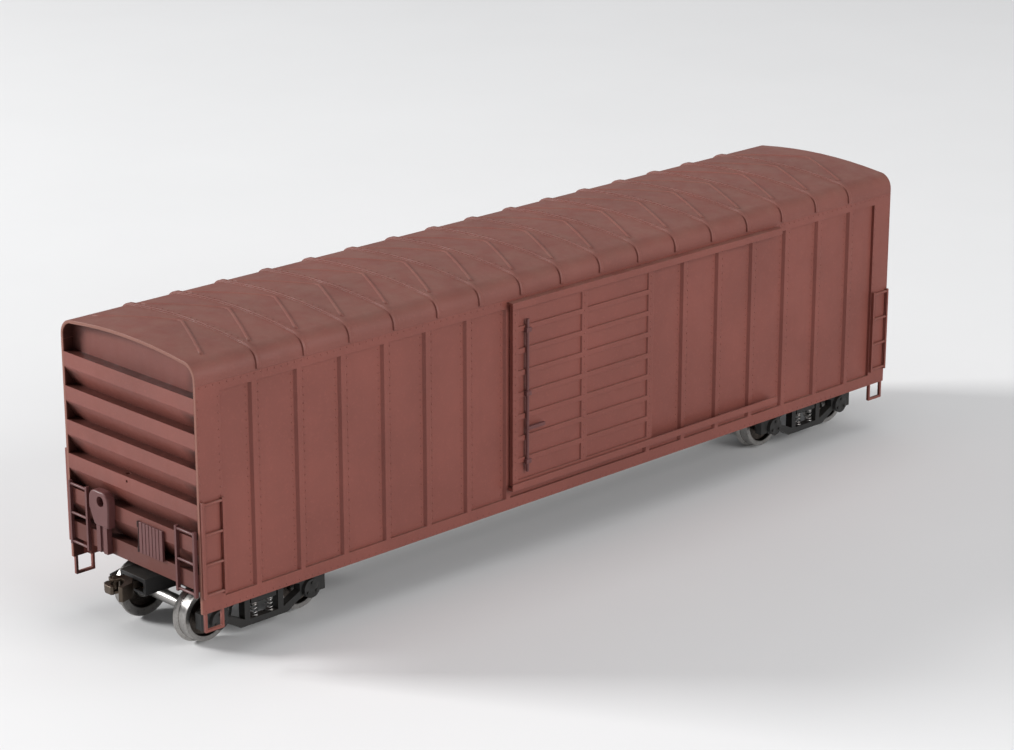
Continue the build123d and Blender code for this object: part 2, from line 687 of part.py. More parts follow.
def coupler_box_lid():
    lid = block((-BOX_HALF, BOX_HALF), (-BOX_OUT, -BOX_IN), (CAVITY_LOW - LID_T, CAVITY_LOW))
    return lid - rod_z(SHANK_R, 0, -PIVOT_Y, (0, PAD_BOTTOM))


def coupler_box_screw():
    low = CAVITY_LOW - LID_T
    screw = rod_z(SHANK_R, 0, -PIVOT_Y, (low, BOX_SCREW_TOP))
    screw += rod_z(SCREW_HEAD_R, 0, -PIVOT_Y, (low - 0.5, low))
    return screw - block((-2, 2), (-PIVOT_Y - 0.15, -PIVOT_Y + 0.15), (0, low - 0.25))


def centring_spring():
    """Thin plate on the lid with a leaf up each side of the shank."""
    low = CAVITY_LOW
    plate = block((-2.75, 2.75), (-88.5, -81.2), (low, low + SPRING_PLATE_T))
    plate -= rod_z(POST_R, 0, -PIVOT_Y, (0, 20))
    for way in (-1, 1):
        leaf = sorted((way * 2.75, way * (2.75 - LEAF_T)))
        plate += block(leaf, (-88.3, -85.6), (low, low + 1.4))
    return plate


KNUCKLE_X = -1.75
KNUCKLE_OUT = 8.2
HUB_R = 0.75
KNUCKLE_PIN_R = 0.28
HEAD_LOW = COUPLER_Z - 1.35
HEAD_TOP = COUPLER_Z + 1.35
KNUCKLE_LOW = COUPLER_Z - 0.75
KNUCKLE_TOP = COUPLER_Z + 0.75


def outline_b(points):
    """Points given as (side, outwards from the pivot), in the brake end's frame."""
    return [(side_x, -PIVOT_Y - out) for side_x, out in points]


def coupler():
    """Shank, head and guard arm; the knuckle's hub turns between two ears."""
    low = COUPLER_Z - SHANK_H / 2
    high = COUPLER_Z + SHANK_H / 2
    body = rod_z(RING_R, 0, -PIVOT_Y, (low, high))
    body += block((-SHANK_HALF, SHANK_HALF), (-PIVOT_Y - 6.6, -PIVOT_Y), (low, high))
    head = [(0.95, 6.2), (2.5, 7.6), (3.1, 10.1), (2.4, 10.4), (1.6, 8.5), (0.5, 7.7),
            (-0.5, 7.7), (-0.8, 8.9), (-1.5, 9.1), (-2.5, 8.8), (-2.7, 7.8), (-0.95, 6.2)]
    body += plate_z(outline_b(head), (HEAD_LOW, HEAD_TOP))
    slot_low, slot_high = KNUCKLE_LOW - 0.08, KNUCKLE_TOP + 0.08
    body -= rod_z(HUB_R + 0.3, KNUCKLE_X, -PIVOT_Y - KNUCKLE_OUT, (slot_low, slot_high))
    sweep_room = [(0.2, 7.75), (0.2, 9.6), (-3.6, 9.6), (-3.6, 8.0), (-2.4, 7.4)]
    body -= plate_z(outline_b(sweep_room), (slot_low, slot_high))
    body -= rod_z(POST_R + RING_GAP, 0, -PIVOT_Y, (0, 20))
    return body - rod_z(KNUCKLE_PIN_R, KNUCKLE_X, -PIVOT_Y - KNUCKLE_OUT, (0, 20))


def knuckle():
    nose = [(-2.2, 8.4), (-2.5, 9.2), (-2.2, 10.0), (-1.3, 10.5), (0.3, 10.5), (0.6, 10.1),
            (0.4, 9.7), (-0.9, 9.6), (-1.2, 9.0), (-1.2, 8.4)]
    body = plate_z(outline_b(nose), (KNUCKLE_LOW, KNUCKLE_TOP))
    body += rod_z(HUB_R, KNUCKLE_X, -PIVOT_Y - KNUCKLE_OUT, (KNUCKLE_LOW, KNUCKLE_TOP))
    return body - rod_z(KNUCKLE_PIN_R + 0.05, KNUCKLE_X, -PIVOT_Y - KNUCKLE_OUT, (0, 20))


def knuckle_pin():
    return rod_z(KNUCKLE_PIN_R, KNUCKLE_X, -PIVOT_Y - KNUCKLE_OUT, (HEAD_LOW, HEAD_TOP + 0.15))


# --- Body pieces ----------------------------------------------------------------
save("roof", roof())
save("end_b", end_with_holes())
save("end_a", half_turn(ribbed_end()))
right = side()
save("side_right", right)
save("side_left", half_turn(right))
save("floor", block((-SHEET_IN, SHEET_IN), (-END_IN, END_IN), (END_BOTTOM, FLOOR_TOP)))
save("centre_sill", *frame())
save("steel_weight", block((-WEIGHT_X, WEIGHT_X), (-WEIGHT_Y, WEIGHT_Y), (FLOOR_TOP, FLOOR_TOP + WEIGHT_T)))

ledge, hood = door_tracks()
for name, shape in (("door", door()), ("door_latch", door_latch()),
                    ("door_track_lower", ledge), ("door_track_upper", hood)):
    save(f"{name}_right", shape)
    save(f"{name}_left", half_turn(shape))

save_ends("end_ladders", Compound(children=[end_ladder(), flip_x(end_ladder())]))
near = side_ladder()
far = mirror(near, about=Plane.XZ)
save("side_ladders_right", near, far)
save("side_ladders_left", half_turn(near), half_turn(far))
save_both_ways("sill_steps", sill_step(), mirror(sill_step(), about=Plane.XZ))

save("hand_brake_housing", brake_housing())
save("hand_brake_bracket", brake_bracket())
save("placard_board", placard_board())
save("board_hinge", board_hinge())
save("brake_cylinder", brake_cylinder())
save("air_reservoir", air_reservoir())
save("control_valve", control_valve())
save("brake_rods", brake_rods())

# --- Trucks and draft gear ------------------------------------------------------
save_both_ways("kingpin_screws", kingpin())
save_ends("truck_bolster", truck_bolster())
save_ends("truck_frame_right", side_frame())
save_ends("truck_frame_left", flip_x(side_frame()))
save_ends("truck_springs", Compound(children=truck_springs()))
for place, offset in (("outer", -HALF_BASE), ("inner", HALF_BASE)):
    wheel_y = -TRUCK_Y + offset
    save_ends(f"axle_{place}", axle(wheel_y))
    save_ends(f"wheels_{place}", Compound(children=[wheel(wheel_y), flip_x(wheel(wheel_y))]))

save_ends("coupler_box", coupler_box())
save_ends("coupler_box_lid", coupler_box_lid())
save_both_ways("coupler_box_screws", coupler_box_screw())
save_ends("centring_spring", centring_spring())
save_ends("coupler", coupler())
save_ends("knuckle", knuckle())
save_ends("knuckle_pin", knuckle_pin())
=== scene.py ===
"""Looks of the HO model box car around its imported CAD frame. Metres; brake end at -Y."""
import math

import bmesh
import bpy
from mathutils import Matrix, Vector


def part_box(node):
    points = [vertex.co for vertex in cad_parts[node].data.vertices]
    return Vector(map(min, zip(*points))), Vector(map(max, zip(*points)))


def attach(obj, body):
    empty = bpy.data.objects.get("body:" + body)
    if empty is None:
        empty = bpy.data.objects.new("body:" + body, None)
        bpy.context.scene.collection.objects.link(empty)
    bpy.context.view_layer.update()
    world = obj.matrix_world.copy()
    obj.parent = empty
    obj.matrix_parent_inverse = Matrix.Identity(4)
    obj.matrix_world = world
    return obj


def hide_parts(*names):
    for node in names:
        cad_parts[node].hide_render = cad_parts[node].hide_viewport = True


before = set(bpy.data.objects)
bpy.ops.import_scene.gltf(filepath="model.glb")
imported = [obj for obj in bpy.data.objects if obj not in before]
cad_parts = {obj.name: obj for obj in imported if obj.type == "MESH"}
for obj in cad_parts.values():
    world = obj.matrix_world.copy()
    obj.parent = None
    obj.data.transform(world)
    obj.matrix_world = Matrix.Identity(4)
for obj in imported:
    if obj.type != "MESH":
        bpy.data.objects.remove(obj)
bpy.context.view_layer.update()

MM = 0.001
ENDS = {"b": Matrix.Identity(4), "a": Matrix.Rotation(math.pi, 4, "Z")}
SIDES = {"right": ENDS["b"], "left": ENDS["a"]}
PLASTIC_SPECULAR = 0.3                  # satin plastic, less glossy than bare styrene
METAL_SPECULAR = 0.5
NOISE_ROUGH = 0.55

RIM = 0.6 * MM                          # thickness of the flange around each end
HALF_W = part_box("end_b")[1].x + RIM
HALF_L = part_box("side_right")[1].y
BODY_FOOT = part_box("end_b")[0].z
RIB_DEPTH = 2.05 * MM


OXIDE_RED = (0.200, 0.060, 0.046)
PALE_RIM = (0.30, 0.165, 0.115)
# dark colour mixed in as painted shade in the end recesses and on the flange walls
PAINTED_SHADE = (0.030, 0.0080, 0.0055)
DUST = (0.235, 0.150, 0.115)
GRIME = (0.085, 0.070, 0.058)


# --- Node helpers ---------------------------------------------------------------
class Shader:
    """A material with a Principled shader and short calls for its procedural inputs."""

    def __init__(self, name, rough, metallic=0.0):
        self.material = bpy.data.materials.new(name)
        self.material.use_nodes = True
        self.tree = self.material.node_tree
        self.bsdf = self.tree.nodes["Principled BSDF"]
        self.bsdf.inputs["Roughness"].default_value = rough
        self.bsdf.inputs["Metallic"].default_value = metallic
        specular = METAL_SPECULAR if metallic else PLASTIC_SPECULAR
        self.bsdf.inputs["Specular IOR Level"].default_value = specular
        self.coords = self.tree.nodes.new("ShaderNodeTexCoord").outputs["Object"]

    def node(self, kind, **values):
        made = self.tree.nodes.new(kind)
        for key, value in values.items():
            setattr(made, key, value)
        return made

    def link(self, source, target):
        self.tree.links.new(source, target)

    def noise(self, size, detail=4.0, stretch=(1, 1, 1)):
        """Noise with features of about size metres, stretched along the axes."""
        mapping = self.node("ShaderNodeMapping")
        mapping.inputs["Scale"].default_value = [1 / (size * s) for s in stretch]
        self.link(self.coords, mapping.inputs["Vector"])
        noise = self.node("ShaderNodeTexNoise")
        noise.inputs["Scale"].default_value = 1.0
        noise.inputs["Detail"].default_value = detail
        noise.inputs["Roughness"].default_value = NOISE_ROUGH
        self.link(mapping.outputs["Vector"], noise.inputs["Vector"])
        return noise.outputs["Fac"]

    def ramp(self, value, low, high, out_low=0.0, out_high=1.0):
        ranged = self.node("ShaderNodeMapRange")
        numbers = (low, high, out_low, out_high)
        for key, number in zip(("From Min", "From Max", "To Min", "To Max"), numbers):
            ranged.inputs[key].default_value = number
        self.link(value, ranged.inputs["Value"])
        return ranged.outputs["Result"]

    def mix(self, factor, first, second):
        """Colour mix; each colour is a tuple or a socket."""
        mixed = self.node("ShaderNodeMix", data_type="RGBA")
        self.link(factor, mixed.inputs["Factor"])
        for socket, colour in ((mixed.inputs[6], first), (mixed.inputs[7], second)):
            if isinstance(colour, tuple):
                socket.default_value = (*colour, 1.0)
            else:
                self.link(colour, socket)
        return mixed.outputs[2]

    def math(self, operation, first, second):
        made = self.node("ShaderNodeMath", operation=operation)
        for socket, value in zip(made.inputs, (first, second)):
            if isinstance(value, (int, float)):
                socket.default_value = value
            else:
                self.link(value, socket)
        return made.outputs["Value"]

    def facing_up(self, low, high):
        """0 to 1 as the surface turns from upright to level."""
        geometry = self.node("ShaderNodeNewGeometry")
        split = self.node("ShaderNodeSeparateXYZ")
        self.link(geometry.outputs["Normal"], split.inputs["Vector"])
        return self.ramp(split.outputs["Z"], low, high)

    def colour(self, socket):
        self.link(socket, self.bsdf.inputs["Base Color"])

    def roughness(self, socket):
        self.link(socket, self.bsdf.inputs["Roughness"])

    def bump(self, height, distance, strength):
        made = self.node("ShaderNodeBump")
        made.inputs["Distance"].default_value = distance
        made.inputs["Strength"].default_value = strength
        self.link(height, made.inputs["Height"])
        self.link(made.outputs["Normal"], self.bsdf.inputs["Normal"])


WORN_LIGHTER = 1.18                     # rubbed specks against the base colour
CLOUD_DARKER = 0.86


def moulded(name, base, rough, dust=None, dust_most=0.45, shade=None):
    """Injection-moulded plastic: faint clouds, fine grain, settled dust; shade mixes painted shade into
    the colour.
    """
    shader = Shader(name, rough)
    light = tuple(channel * WORN_LIGHTER for channel in base)
    deep = tuple(channel * CLOUD_DARKER for channel in base)
    cloud = shader.ramp(shader.noise(14 * MM, 5.0), 0.35, 0.65)
    colour = shader.mix(cloud, deep, base)
    speck = shader.ramp(shader.noise(0.45 * MM, 2.0), 0.56, 0.74, 0.0, 0.5)
    colour = shader.mix(speck, colour, light)
    streak = shader.ramp(shader.noise(1.1 * MM, 3.0, (1, 1, 12)), 0.52, 0.75, 0.0, 0.4)
    colour = shader.mix(streak, colour, deep)
    if shade:
        colour = shade(shader, colour)
    if dust:
        settled = shader.math("MULTIPLY", shader.facing_up(0.3, 0.95),
                              shader.ramp(shader.noise(4 * MM, 6.0), 0.35, 0.75, 0.15, 1.0))
        colour = shader.mix(shader.math("MULTIPLY", settled, dust_most), colour, dust)
    shader.colour(colour)
    shader.roughness(shader.ramp(shader.noise(2.5 * MM, 4.0), 0.3, 0.7, rough - 0.07, rough + 0.09))
    shader.bump(shader.noise(0.16 * MM, 3.0), 0.010 * MM, 0.6)
    return shader.material


def car_place(shader):
    """Distances from the car's middle across it and along it, and the height."""
    split = shader.node("ShaderNodeSeparateXYZ")
    shader.link(shader.coords, split.inputs["Vector"])
    across = shader.math("ABSOLUTE", split.outputs["X"], 0.0)
    along = shader.math("ABSOLUTE", split.outputs["Y"], 0.0)
    return across, along, split.outputs["Z"]


def end_painted_shade(shader, colour):
    """Painted shade on the up-facing shelves, deep in the recesses, by the flanges and towards the
    foot.
    """
    across, along, height = car_place(shader)
    uneven = shader.ramp(shader.noise(1.3 * MM, 4.0), 0.3, 0.7, 0.75, 1.15)
    deep = shader.ramp(along, HALF_L - 0.15 * MM, HALF_L - RIB_DEPTH)
    behind_rim = shader.ramp(along, HALF_L - 0.05 * MM, HALF_L - 0.5 * MM)
    by_flange = shader.ramp(across, HALF_W - 5.0 * MM, HALF_W - 1.2 * MM, 0.0, 0.9)
    foot = shader.ramp(height, BODY_FOOT + 15 * MM, BODY_FOOT + 4 * MM, 0.0, 0.5)
    flange_shade = shader.math("MULTIPLY", shader.math("MULTIPLY", behind_rim, by_flange), uneven)
    foot_deep = shader.math("MULTIPLY", shader.math("MULTIPLY", deep, foot), 1.7)
    shelf = shader.math("MULTIPLY", shader.facing_up(0.45, 0.85), uneven)
    inside = shader.ramp(along, HALF_L - 0.02 * MM, HALF_L - 0.12 * MM, 0.0, 0.65)
    # mix in painted shade: deeper in the recesses, towards the foot, beside the flanges and on the
    # shelves
    for amount in (shader.math("MULTIPLY", deep, 0.22), foot, foot_deep, flange_shade,
                   shader.math("MULTIPLY", shelf, inside)):
        colour = shader.mix(amount, colour, PAINTED_SHADE)
    return colour


def flange_painted_shade_and_rim(shader, colour):
    """Painted shade inside the flange around each end, and a paler rim on its front."""
    across, along, _ = car_place(shader)
    inside = shader.ramp(across, HALF_W - 0.3 * MM, HALF_W - RIM + 0.05 * MM)
    not_top = shader.math("SUBTRACT", 1.0, shader.facing_up(0.05, 0.25))
    behind_rim = shader.ramp(along, HALF_L - 0.02 * MM, HALF_L - 0.3 * MM)
    root = HALF_L - RIB_DEPTH
    recess = shader.ramp(along, root - 0.3 * MM, root - 0.1 * MM, 0.0, 0.85)
    wall = shader.math("MULTIPLY", shader.math("MULTIPLY", inside, not_top),
                       shader.math("MULTIPLY", behind_rim, recess))
    # painted shade on the flange's inner walls
    colour = shader.mix(wall, colour, PAINTED_SHADE)
    # a paler band along the rim's front
    front = shader.ramp(along, HALF_L - 0.07 * MM, HALF_L - 0.03 * MM, 0.0, 0.32)
    return shader.mix(front, colour, PALE_RIM)


def metal(name, base, rough, tarnish, brushed=(1, 1, 1)):
    """Bare metal with turning or rolling marks and a thin tarnish."""
    shader = Shader(name, rough, metallic=1.0)
    stained = shader.ramp(shader.noise(2.2 * MM, 5.0), 0.42, 0.78, 0.0, 0.7)
    shader.colour(shader.mix(stained, base, tarnish))
    marks = shader.noise(0.12 * MM, 3.0, brushed)
    shader.roughness(shader.ramp(marks, 0.3, 0.7, rough - 0.06, rough + 0.12))
    shader.bump(marks, 0.005 * MM, 0.5)
    return shader.material


HUB_EDGE = (0.34, 0.38)                 # shares of the wheel's radius where the hub ends
RIM_EDGE = (0.69, 0.73)                 # and where the rim begins
TURNING_RINGS = 150.0                   # noise cells across the radius
GRIME_LIGHTER = 1.9


def wheel_metal(name, bright, plate):
    """Turned wheel: bright tread and rim, darkened plate, turning rings about the axle."""
    shader = Shader(name, 0.3, metallic=1.0)
    place = shader.tree.nodes.new("ShaderNodeTexCoord").outputs["Generated"]
    centred = shader.node("ShaderNodeVectorMath", operation="SUBTRACT")
    centred.inputs[1].default_value = (0.5, 0.5, 0.5)
    shader.link(place, centred.inputs[0])
    flat = shader.node("ShaderNodeVectorMath", operation="MULTIPLY")
    flat.inputs[1].default_value = (0.0, 2.0, 2.0)
    shader.link(centred.outputs["Vector"], flat.inputs[0])
    length = shader.node("ShaderNodeVectorMath", operation="LENGTH")
    shader.link(flat.outputs["Vector"], length.inputs[0])
    radius = length.outputs["Value"]
    hub = shader.ramp(radius, *HUB_EDGE, 1.0, 0.0)
    rim = shader.ramp(radius, *RIM_EDGE)
    ends = shader.math("MAXIMUM", hub, rim)
    grime = shader.ramp(shader.noise(0.9 * MM, 5.0), 0.35, 0.7)
    dull = shader.mix(grime, plate, tuple(channel * GRIME_LIGHTER for channel in plate))
    worn = shader.mix(shader.ramp(shader.noise(0.5 * MM, 3.0), 0.5, 0.8, 0.0, 0.5), bright, plate)
    shader.colour(shader.mix(ends, dull, worn))
    rings = shader.node("ShaderNodeTexNoise", noise_dimensions="1D")
    rings.inputs["Scale"].default_value = TURNING_RINGS
    rings.inputs["Detail"].default_value = 2.0
    shader.link(radius, rings.inputs["W"])
    shader.roughness(shader.ramp(rings.outputs["Fac"], 0.3, 0.7, 0.22, 0.42))
    shader.bump(rings.outputs["Fac"], 0.006 * MM, 0.6)
    return shader.material


materials = {
    "body": moulded("oxide_red_plastic", OXIDE_RED, 0.44, dust=DUST, shade=flange_painted_shade_and_rim),
    "end": moulded("oxide_red_ribbed_end", OXIDE_RED, 0.46, shade=end_painted_shade),
    "roof": moulded("oxide_red_roof", (0.190, 0.062, 0.048), 0.5, dust=DUST, dust_most=0.3,
                    shade=flange_painted_shade_and_rim),
    "fitting": moulded("oxide_red_fittings", (0.124, 0.046, 0.044), 0.42),
    "hinge": moulded("dark_red_hinge", (0.030, 0.010, 0.008), 0.5),
    "frame": moulded("black_underframe", (0.020, 0.019, 0.019), 0.5, dust=GRIME),
    "truck": moulded("black_truck_plastic", (0.022, 0.021, 0.020), 0.42, dust=GRIME),
    "coupler": metal("darkened_coupler", (0.11, 0.088, 0.070), 0.42, (0.06, 0.038, 0.026)),
    "wheel": wheel_metal("turned_wheel", (0.37, 0.355, 0.34), (0.055, 0.046, 0.040)),
    "axle": metal("turned_axle", (0.34, 0.33, 0.32), 0.32, (0.22, 0.20, 0.18), (6, 1, 1)),
    "screw": metal("plated_screw", (0.44, 0.43, 0.41), 0.3, (0.28, 0.24, 0.19)),
    "spring": metal("spring_wire", (0.34, 0.33, 0.32), 0.34, (0.20, 0.16, 0.13)),
    "bronze": metal("spring_bronze", (0.62, 0.38, 0.19), 0.3, (0.38, 0.22, 0.12)),
    "weight": metal("rolled_steel_weight", (0.27, 0.27, 0.27), 0.42, (0.17, 0.145, 0.12), (1, 12, 1)),
}

BODY_NODES = ["side_left", "side_right", "door_left", "door_right", "sill_steps"]
BODY_NODES += [f"door_track_{level}_{side}" for level in ("lower", "upper") for side in SIDES]
BODY_NODES += [f"side_ladders_{side}" for side in SIDES]
FITTING_NODES = ["hand_brake_housing", "hand_brake_bracket", "placard_board"]
FITTING_NODES += [f"end_ladders_{end}" for end in ENDS]
FITTING_NODES += [f"door_latch_{side}" for side in SIDES]
FRAME_NODES = ["floor", "centre_sill", "brake_cylinder", "air_reservoir", "control_valve", "brake_rods"]
LOOKS = {
    "body": BODY_NODES,
    "end": ["end_a", "end_b"],
    "roof": ["roof"],
    "fitting": FITTING_NODES,
    "hinge": ["board_hinge"],
    "frame": FRAME_NODES,
    "screw": ["kingpin_screws", "coupler_box_screws"],
    "weight": ["steel_weight"],
}
PER_END = {
    "frame": ["coupler_box", "coupler_box_lid"],
    "truck": ["truck_bolster", "truck_frame_left", "truck_frame_right"],
    "coupler": ["coupler", "knuckle", "knuckle_pin"],
    "wheel": ["wheels_inner", "wheels_outer"],
    "axle": ["axle_inner", "axle_outer"],
    "bronze": ["centring_spring"],
}
for look, names in PER_END.items():
    LOOKS[look] = LOOKS.get(look, []) + [f"{name}_{end}" for name in names for end in ENDS]

# Widths of the rounded moulding edges, in millimetres, for each look.
EDGE = {"body": 0.07, "end": 0.10, "roof": 0.08, "fitting": 0.06, "frame": 0.08, "truck": 0.10,
        "coupler": 0.10, "weight": 0.10}
EDGE_ANGLE = math.radians(38)           # flatter edges than this stay as they are
RIB_EDGE_ANGLE = math.radians(22)       # on the ends, where faces meet slopes at 30 degrees
FLAT_ANGLE = math.radians(0.5)


def soften(piece, width, angle, joined):
    """Rounds the sharp edges with modifiers, joining flat triangles first if asked."""
    weld = piece.modifiers.new("weld", "WELD")
    weld.merge_threshold = 0.002 * MM
    if joined:
        flat = piece.modifiers.new("flat", "DECIMATE")
        flat.decimate_type = "DISSOLVE"
        flat.angle_limit = FLAT_ANGLE
    bevel = piece.modifiers.new("edge", "BEVEL")
    bevel.width = width * MM
    bevel.segments = 2
    bevel.limit_method = "ANGLE"
    bevel.angle_limit = angle
    bevel.use_clamp_overlap = True
    bevel.face_strength_mode = "FSTR_ALL"
    weighted = piece.modifiers.new("normals", "WEIGHTED_NORMAL")
    weighted.use_face_influence = True
    for face in piece.data.polygons:
        face.use_smooth = True


for look, names in LOOKS.items():
    for name in names:
        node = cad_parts[name]
        node.data.materials.clear()
        node.data.materials.append(materials[look])
        if look in EDGE:
            angle = RIB_EDGE_ANGLE if look == "end" else EDGE_ANGLE
            soften(node, EDGE[look], angle, look in ("end", "fitting"))


# --- Mesh helpers ---------------------------------------------------------------
def finish_mesh(name, mesh, look, body, smooth=True):
    """Turns a bmesh into a named piece that rides on a CAD body."""
    bmesh.ops.recalc_face_normals(mesh, faces=mesh.faces)
    data = bpy.data.meshes.new(name)
    mesh.to_mesh(data)
    mesh.free()
    for face in data.polygons:
        face.use_smooth = smooth
    data.materials.append(materials[look])
    piece = bpy.data.objects.new(name, data)
    bpy.context.scene.collection.objects.link(piece)
    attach(piece, body)
    return piece


def bridge(mesh, first, second):
    """A band of quads between two rings with the same number of vertices."""
    count = len(first)
    for k in range(count):
        mesh.faces.new((first[k], first[(k + 1) % count], second[(k + 1) % count], second[k]))


def add_tube(mesh, points, radius, sides=10):
    """A round rod along the points, closed at both ends."""
    points = [Vector(point) for point in points]
    tangents = []
    for i in range(len(points)):
        ahead = points[min(i + 1, len(points) - 1)]
        behind = points[max(i - 1, 0)]
        tangents.append((ahead - behind).normalized())
    across = tangents[0].orthogonal().normalized()
    rings = []
    for point, tangent in zip(points, tangents):
        across = (across - tangent * across.dot(tangent)).normalized()
        other = tangent.cross(across)
        ring = []
        for k in range(sides):
            angle = 2 * math.pi * k / sides
            offset = across * math.cos(angle) + other * math.sin(angle)
            ring.append(mesh.verts.new(point + offset * radius))
        rings.append(ring)
    for first, second in zip(rings, rings[1:]):
        bridge(mesh, first, second)
    mesh.faces.new(rings[0][::-1])
    mesh.faces.new(rings[-1])


DOME_SIDES = 8
DOME_RINGS = ((1.0, -0.15), (0.96, 0.35), (0.62, 0.85))     # shares of radius and height


def add_dome(mesh, centre, normal):
    """A low rivet head, closed below, sunk a little into its surface."""
    normal = Vector(normal).normalized()
    across = normal.orthogonal().normalized()
    other = normal.cross(across)
    centre = Vector(centre)
    rings = []
    for share, rise in DOME_RINGS:
        ring = []
        for k in range(DOME_SIDES):
            angle = 2 * math.pi * k / DOME_SIDES
            offset = across * math.cos(angle) + other * math.sin(angle)
            ring.append(mesh.verts.new(centre + offset * RIVET_R * share + normal * RIVET_H * rise))
        rings.append(ring)
    top = mesh.verts.new(centre + normal * RIVET_H)
    for first, second in zip(rings, rings[1:]):
        bridge(mesh, first, second)
    for k in range(DOME_SIDES):
        mesh.faces.new((rings[-1][k], rings[-1][(k + 1) % DOME_SIDES], top))
    mesh.faces.new(rings[0][::-1])


def spaced(low, high, pitch):
    """Evenly spaced values from low to high, about pitch apart."""
    count = max(1, round((high - low) / pitch))
    return [low + (high - low) * i / count for i in range(count + 1)]


# --- Truck springs --------------------------------------------------------------
COIL_R = 0.60 * MM
WIRE_R = 0.13 * MM
COIL_TURNS = 5.5
STEPS_PER_TURN = 20
COIL_INSET = 0.75 * MM                  # coil centres from the edges of the CAD spring block


def add_coil(mesh, x, y, low, high):
    """A compression spring with its end turns flattened onto the seats."""
    steps = int(COIL_TURNS * STEPS_PER_TURN)
    points = []
    for i in range(steps + 1):
        share = i / steps
        eased = share - math.sin(2 * math.pi * share) / (2.6 * math.pi)
        angle = 2 * math.pi * COIL_TURNS * share
        points.append((x + COIL_R * math.cos(angle), y + COIL_R * math.sin(angle),
                       low + WIRE_R + (high - low - 2 * WIRE_R) * eased))
    add_tube(mesh, points, WIRE_R, 8)


def truck_springs(end):
    """Four coil springs in place of the CAD's plain ones."""
    node = f"truck_springs_{end}"
    low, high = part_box(node)
    mesh = bmesh.new()
    for x in (low.x + COIL_INSET, high.x - COIL_INSET):
        for y in (low.y + COIL_INSET, high.y - COIL_INSET):
            add_coil(mesh, x, y, low.z, high.z)
    piece = finish_mesh(f"coil_springs_{end}", mesh, "spring", f"truck_{end}")
    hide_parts(node)


for end in ENDS:
    truck_springs(end)


# --- Rivets and roof beads ------------------------------------------------------
RIVET_R = 0.15 * MM
RIVET_H = 0.09 * MM
RIVET_PITCH = 1.45 * MM
POST_FOOT = 1.8 * MM
PANELS = 7
CORNER_POST = 5.0 * MM
SILL_H = 2.2 * MM
CHORD_H = 1.7 * MM
SHEET_BACK = 0.6 * MM                   # sheet behind the posts' faces
DOOR_LAP = 0.8 * MM
ROW_END = 0.9 * MM                      # rows stop this far from the sill and the chord
BESIDE_POST = 0.42 * MM
POST_EDGE = 0.4 * MM                    # rows from the corner post's edges
SILL_ROW = 0.5 * MM
CHORD_ROW = 0.45 * MM
LONG_ROW_END = 0.8 * MM
DOORWAY_CLEAR = 0.3 * MM
DOOR_STILE = 0.7 * MM
DOOR_ROW_END = 1.7 * MM


def side_rivets(side, turn):
    """Rows beside every post, along the sill and top chord, and down the corner posts."""
    low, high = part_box("side_right")
    door_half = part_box("door_right")[1].y - DOOR_LAP
    outward = turn @ Vector((1, 0, 0))
    mesh = bmesh.new()

    def rivet(x, y, z):
        add_dome(mesh, turn @ Vector((x, y, z)), outward)

    heights = spaced(low.z + SILL_H + ROW_END, high.z - CHORD_H - ROW_END, RIVET_PITCH)
    post_pitch = (high.y - CORNER_POST / 2 - door_half - POST_FOOT / 2) / PANELS
    for way in (-1, 1):
        for i in range(PANELS):
            post = way * (door_half + POST_FOOT / 2 + i * post_pitch)
            for beside in (-1, 1):
                y = post + beside * (POST_FOOT / 2 + BESIDE_POST)
                if abs(y) > door_half + DOORWAY_CLEAR:
                    for z in heights:
                        rivet(high.x - SHEET_BACK, y, z)
        for y in (high.y - CORNER_POST + POST_EDGE, high.y - POST_EDGE):
            for z in heights:
                rivet(high.x, way * y, z)
    for y in spaced(low.y + LONG_ROW_END, high.y - LONG_ROW_END, RIVET_PITCH):
        rivet(high.x, y, low.z + SILL_ROW)
        rivet(high.x, y, high.z - CHORD_ROW)
    finish_mesh(f"side_rivets_{side}", mesh, "body", "body")


def door_rivets(side, turn):
    """A row down each edge of the door and one down its middle."""
    low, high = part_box("door_right")
    mesh = bmesh.new()
    for y in (low.y + DOOR_STILE, 0.0, high.y - DOOR_STILE):
        for z in spaced(low.z + DOOR_ROW_END, high.z - DOOR_ROW_END, RIVET_PITCH):
            add_dome(mesh, turn @ Vector((high.x, y, z)), turn @ Vector((1, 0, 0)))
    finish_mesh(f"door_rivets_{side}", mesh, "body", f"door_{side}")


ROOF_PANELS = 17
SEAM_H = 0.35 * MM
END_T = 3.0 * MM
ARCH_RISE = 1.0 * MM
SHOULDER = 3.0 * MM
BEAD_R = 0.42 * MM
BEAD_SUNK = 0.24 * MM
BEAD_MARGIN = 1.3 * MM                  # from the bead's ends to the seams
BEAD_STEP = 1.2 * MM
SEAM_RIVET_PITCH = 1.6 * MM
FLAT_MARGIN = 0.6 * MM                  # beads and rivets stop this far from the shoulders


def roof_z(x):
    """Height of the roof sheet above the car's centre line at x."""
    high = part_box("roof")[1]
    flat_half = high.x - SEAM_H - SHOULDER
    return high.z - SEAM_H - ARCH_RISE * (x / flat_half) ** 2


